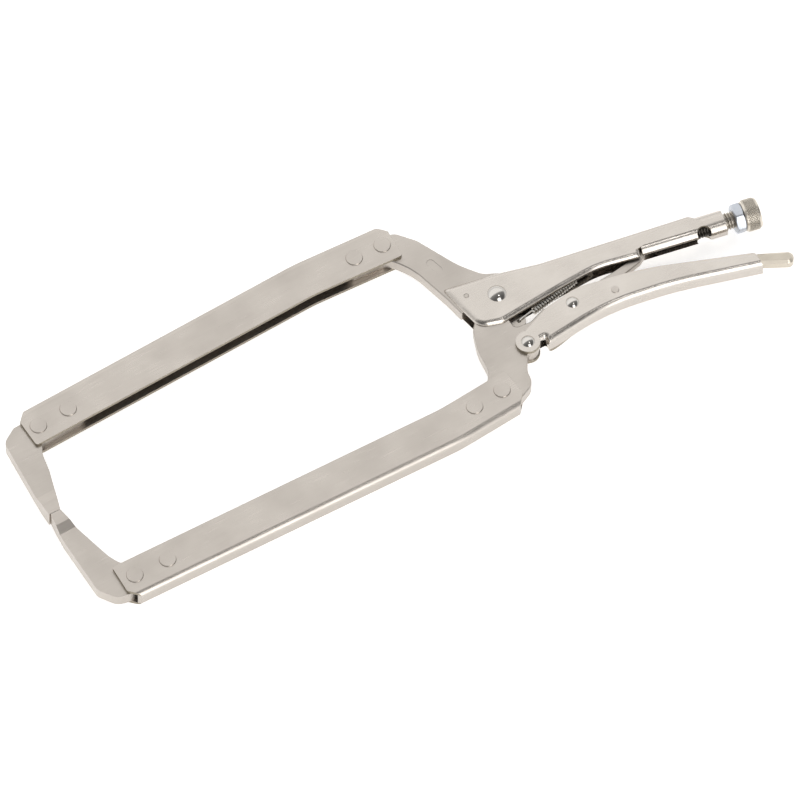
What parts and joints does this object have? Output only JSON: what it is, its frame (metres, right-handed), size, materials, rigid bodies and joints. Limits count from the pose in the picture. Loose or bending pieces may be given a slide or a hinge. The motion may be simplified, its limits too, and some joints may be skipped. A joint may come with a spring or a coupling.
{
  "type": "locking c clamp",
  "caption": "Deep-reach locking C clamp with folded channel arms, toggle handles, release lever and knurled adjusting screw.",
  "frame": {"origin": "middle of the fixed jaw's contact face, in the mid-plane of the plates", "axes": "+X along the arms from the jaw tips to the handles, +Y to the fixed side, +Z square to the mid-plane"},
  "size_m": [0.4874, 0.1616, 0.0205],
  "materials": {
    "nickel_plate": "satin nickel plated plate, rolled grain and light handling marks",
    "nickel_arm_sheet": "satin nickel plated sheet with fine lengthwise grain",
    "nickel_handle_sheet": "satin to bright nickel plated sheet, polished at the folds",
    "nickel_flat_rivet": "satin nickel plated, faint turned rings",
    "bright_rivet": "bright nickel plated domed heads",
    "spring_wire": "drawn wire, dull nickel",
    "lever_steel": "satin nickel plated, slightly warm",
    "screw_thread": "rolled thread, nickel plated",
    "zinc_nut": "bright bluish zinc plated",
    "knurled_knob": "diamond knurl, nickel plated"
  },
  "bodies": {
    "fixed_side": {"fixed_handle": "nickel_handle_sheet", "fixed_jaw_frame": "nickel_plate", "fixed_arm": "nickel_arm_sheet", "fixed_jaw_tip": "nickel_plate", "fixed_arm_tip_rivets": "nickel_flat_rivet", "fixed_arm_rear_rivets": "nickel_flat_rivet", "main_pivot_rivet": "bright_rivet", "frame_pin": "nickel_flat_rivet", "spring_anchor": "nickel_handle_sheet", "jaw_spring": "spring_wire"},
    "moving_jaw": {"moving_jaw_frame": "nickel_plate", "moving_arm": "nickel_arm_sheet", "moving_jaw_tip": "nickel_plate", "moving_arm_tip_rivets": "nickel_flat_rivet", "moving_arm_rear_rivets": "nickel_flat_rivet"},
    "lower_handle": {"lower_handle": "nickel_handle_sheet", "handle_pivot_rivet": "bright_rivet", "toggle_pivot_rivet": "bright_rivet", "release_lever_rivet": "nickel_flat_rivet"},
    "toggle_link": {"toggle_link": "nickel_plate"},
    "release_lever": {"release_lever": "lever_steel"},
    "screw_rod": {"adjusting_screw": "screw_thread"},
    "lock_nut": {"lock_nut": "zinc_nut"},
    "screw_knob": {"screw_knob": "knurled_knob"}
  },
  "joints": [
    {"name": "jaw_pivot", "type": "hinge", "parent": "fixed_side", "child": "moving_jaw", "pos_m": [0.3105, -0.006, 0], "axis": [0, 0, 1], "range_deg": [0, 12], "deforming": ["jaw_spring"]},
    {"name": "handle_pivot", "type": "hinge", "parent": "moving_jaw", "child": "lower_handle", "pos_m": [0.3091, -0.045, 0], "axis": [0, 0, 1], "range_deg": [-42, 0]},
    {"name": "toggle_pivot", "type": "hinge", "parent": "lower_handle", "child": "toggle_link", "pos_m": [0.3468, -0.0351, 0], "axis": [0, 0, 1], "range_deg": [0, 49.8]},
    {"name": "release_lever_pivot", "type": "hinge", "parent": "lower_handle", "child": "release_lever", "pos_m": [0.3739, -0.0409, 0], "axis": [0, 0, 1], "range_deg": [0, 5]},
    {"name": "screw_travel", "type": "slide", "parent": "fixed_side", "child": "screw_rod", "axis": [0.9799, -0.1994, 0], "range_m": [0, 0.0145]},
    {"name": "knob_spin", "type": "hinge", "parent": "screw_rod", "child": "screw_knob", "pos_m": [0.4579, -0.03054, 0], "axis": [0.9799, -0.1994, 0], "range_deg": [0, 2880]},
    {"name": "nut_travel", "type": "slide", "parent": "screw_rod", "child": "lock_nut", "axis": [-0.9799, 0.1994, 0], "range_m": [0, 0.0058]}
  ],
  "couplings": [
    {"joint": "handle_pivot", "follows": "jaw_pivot", "ratio": -3.5},
    {"joint": "toggle_pivot", "follows": "jaw_pivot", "ratio": 4.15},
    {"joint": "knob_spin", "follows": "screw_travel", "rad_per_m": 3463.7}
  ]
}
